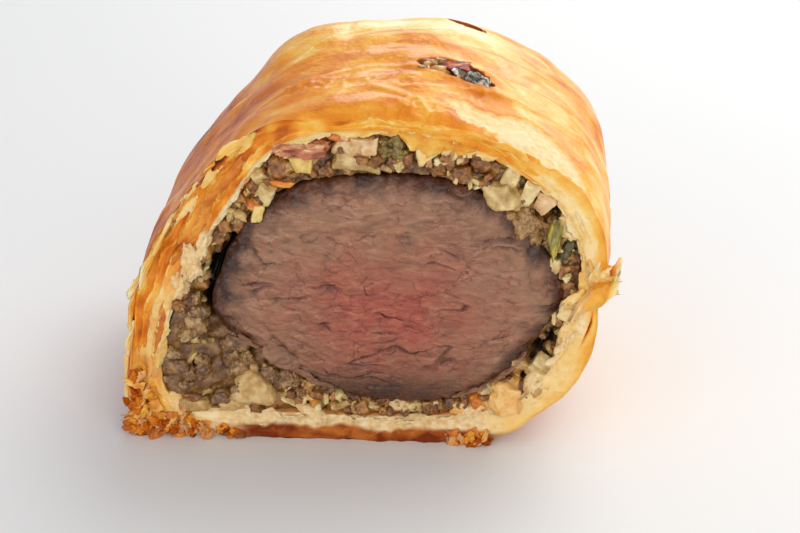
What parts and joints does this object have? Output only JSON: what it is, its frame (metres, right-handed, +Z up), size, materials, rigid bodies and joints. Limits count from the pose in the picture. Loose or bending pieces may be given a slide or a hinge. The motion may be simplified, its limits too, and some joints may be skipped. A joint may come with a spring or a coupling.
{
  "type": "beef wellington",
  "caption": "Half a beef wellington cut across: beef fillet in chopped mushroom filling and golden puff pastry, with steam slits on top.",
  "frame": {"origin": "on the flat base, midway between the cut plane and the closed end, near the middle of the width", "axes": "+Z up from the base; the cut face looks along -Y and the closed end is at +Y; +X is to the right as seen facing the cut"},
  "size_m": [0.1175, 0.0849, 0.085],
  "materials": {
    "crust": "egg-glazed baked puff pastry, golden brown, semi-gloss on the outside and matte cream where it is broken",
    "filling": "moist chopped mushroom and onion, tan to brown",
    "beef": "roast beef cut across the grain, grey-brown edge and pink centre, slightly moist",
    "bacon": "cooked bacon, pink-brown, slightly moist",
    "green_vegetable": "cooked green pepper, yellow-green, wet",
    "red_vegetable": "roasted red pepper, deep red with dark edges, wet",
    "dark_skin": "roasted dark vegetable skin, nearly black, wet"
  },
  "bodies": {
    "root": {"crust": "crust", "filling": "filling", "beef": "beef", "bacon_piece": "bacon", "green_piece": "green_vegetable", "red_piece": "red_vegetable", "dark_piece": "dark_skin"}
  },
  "joints": []
}
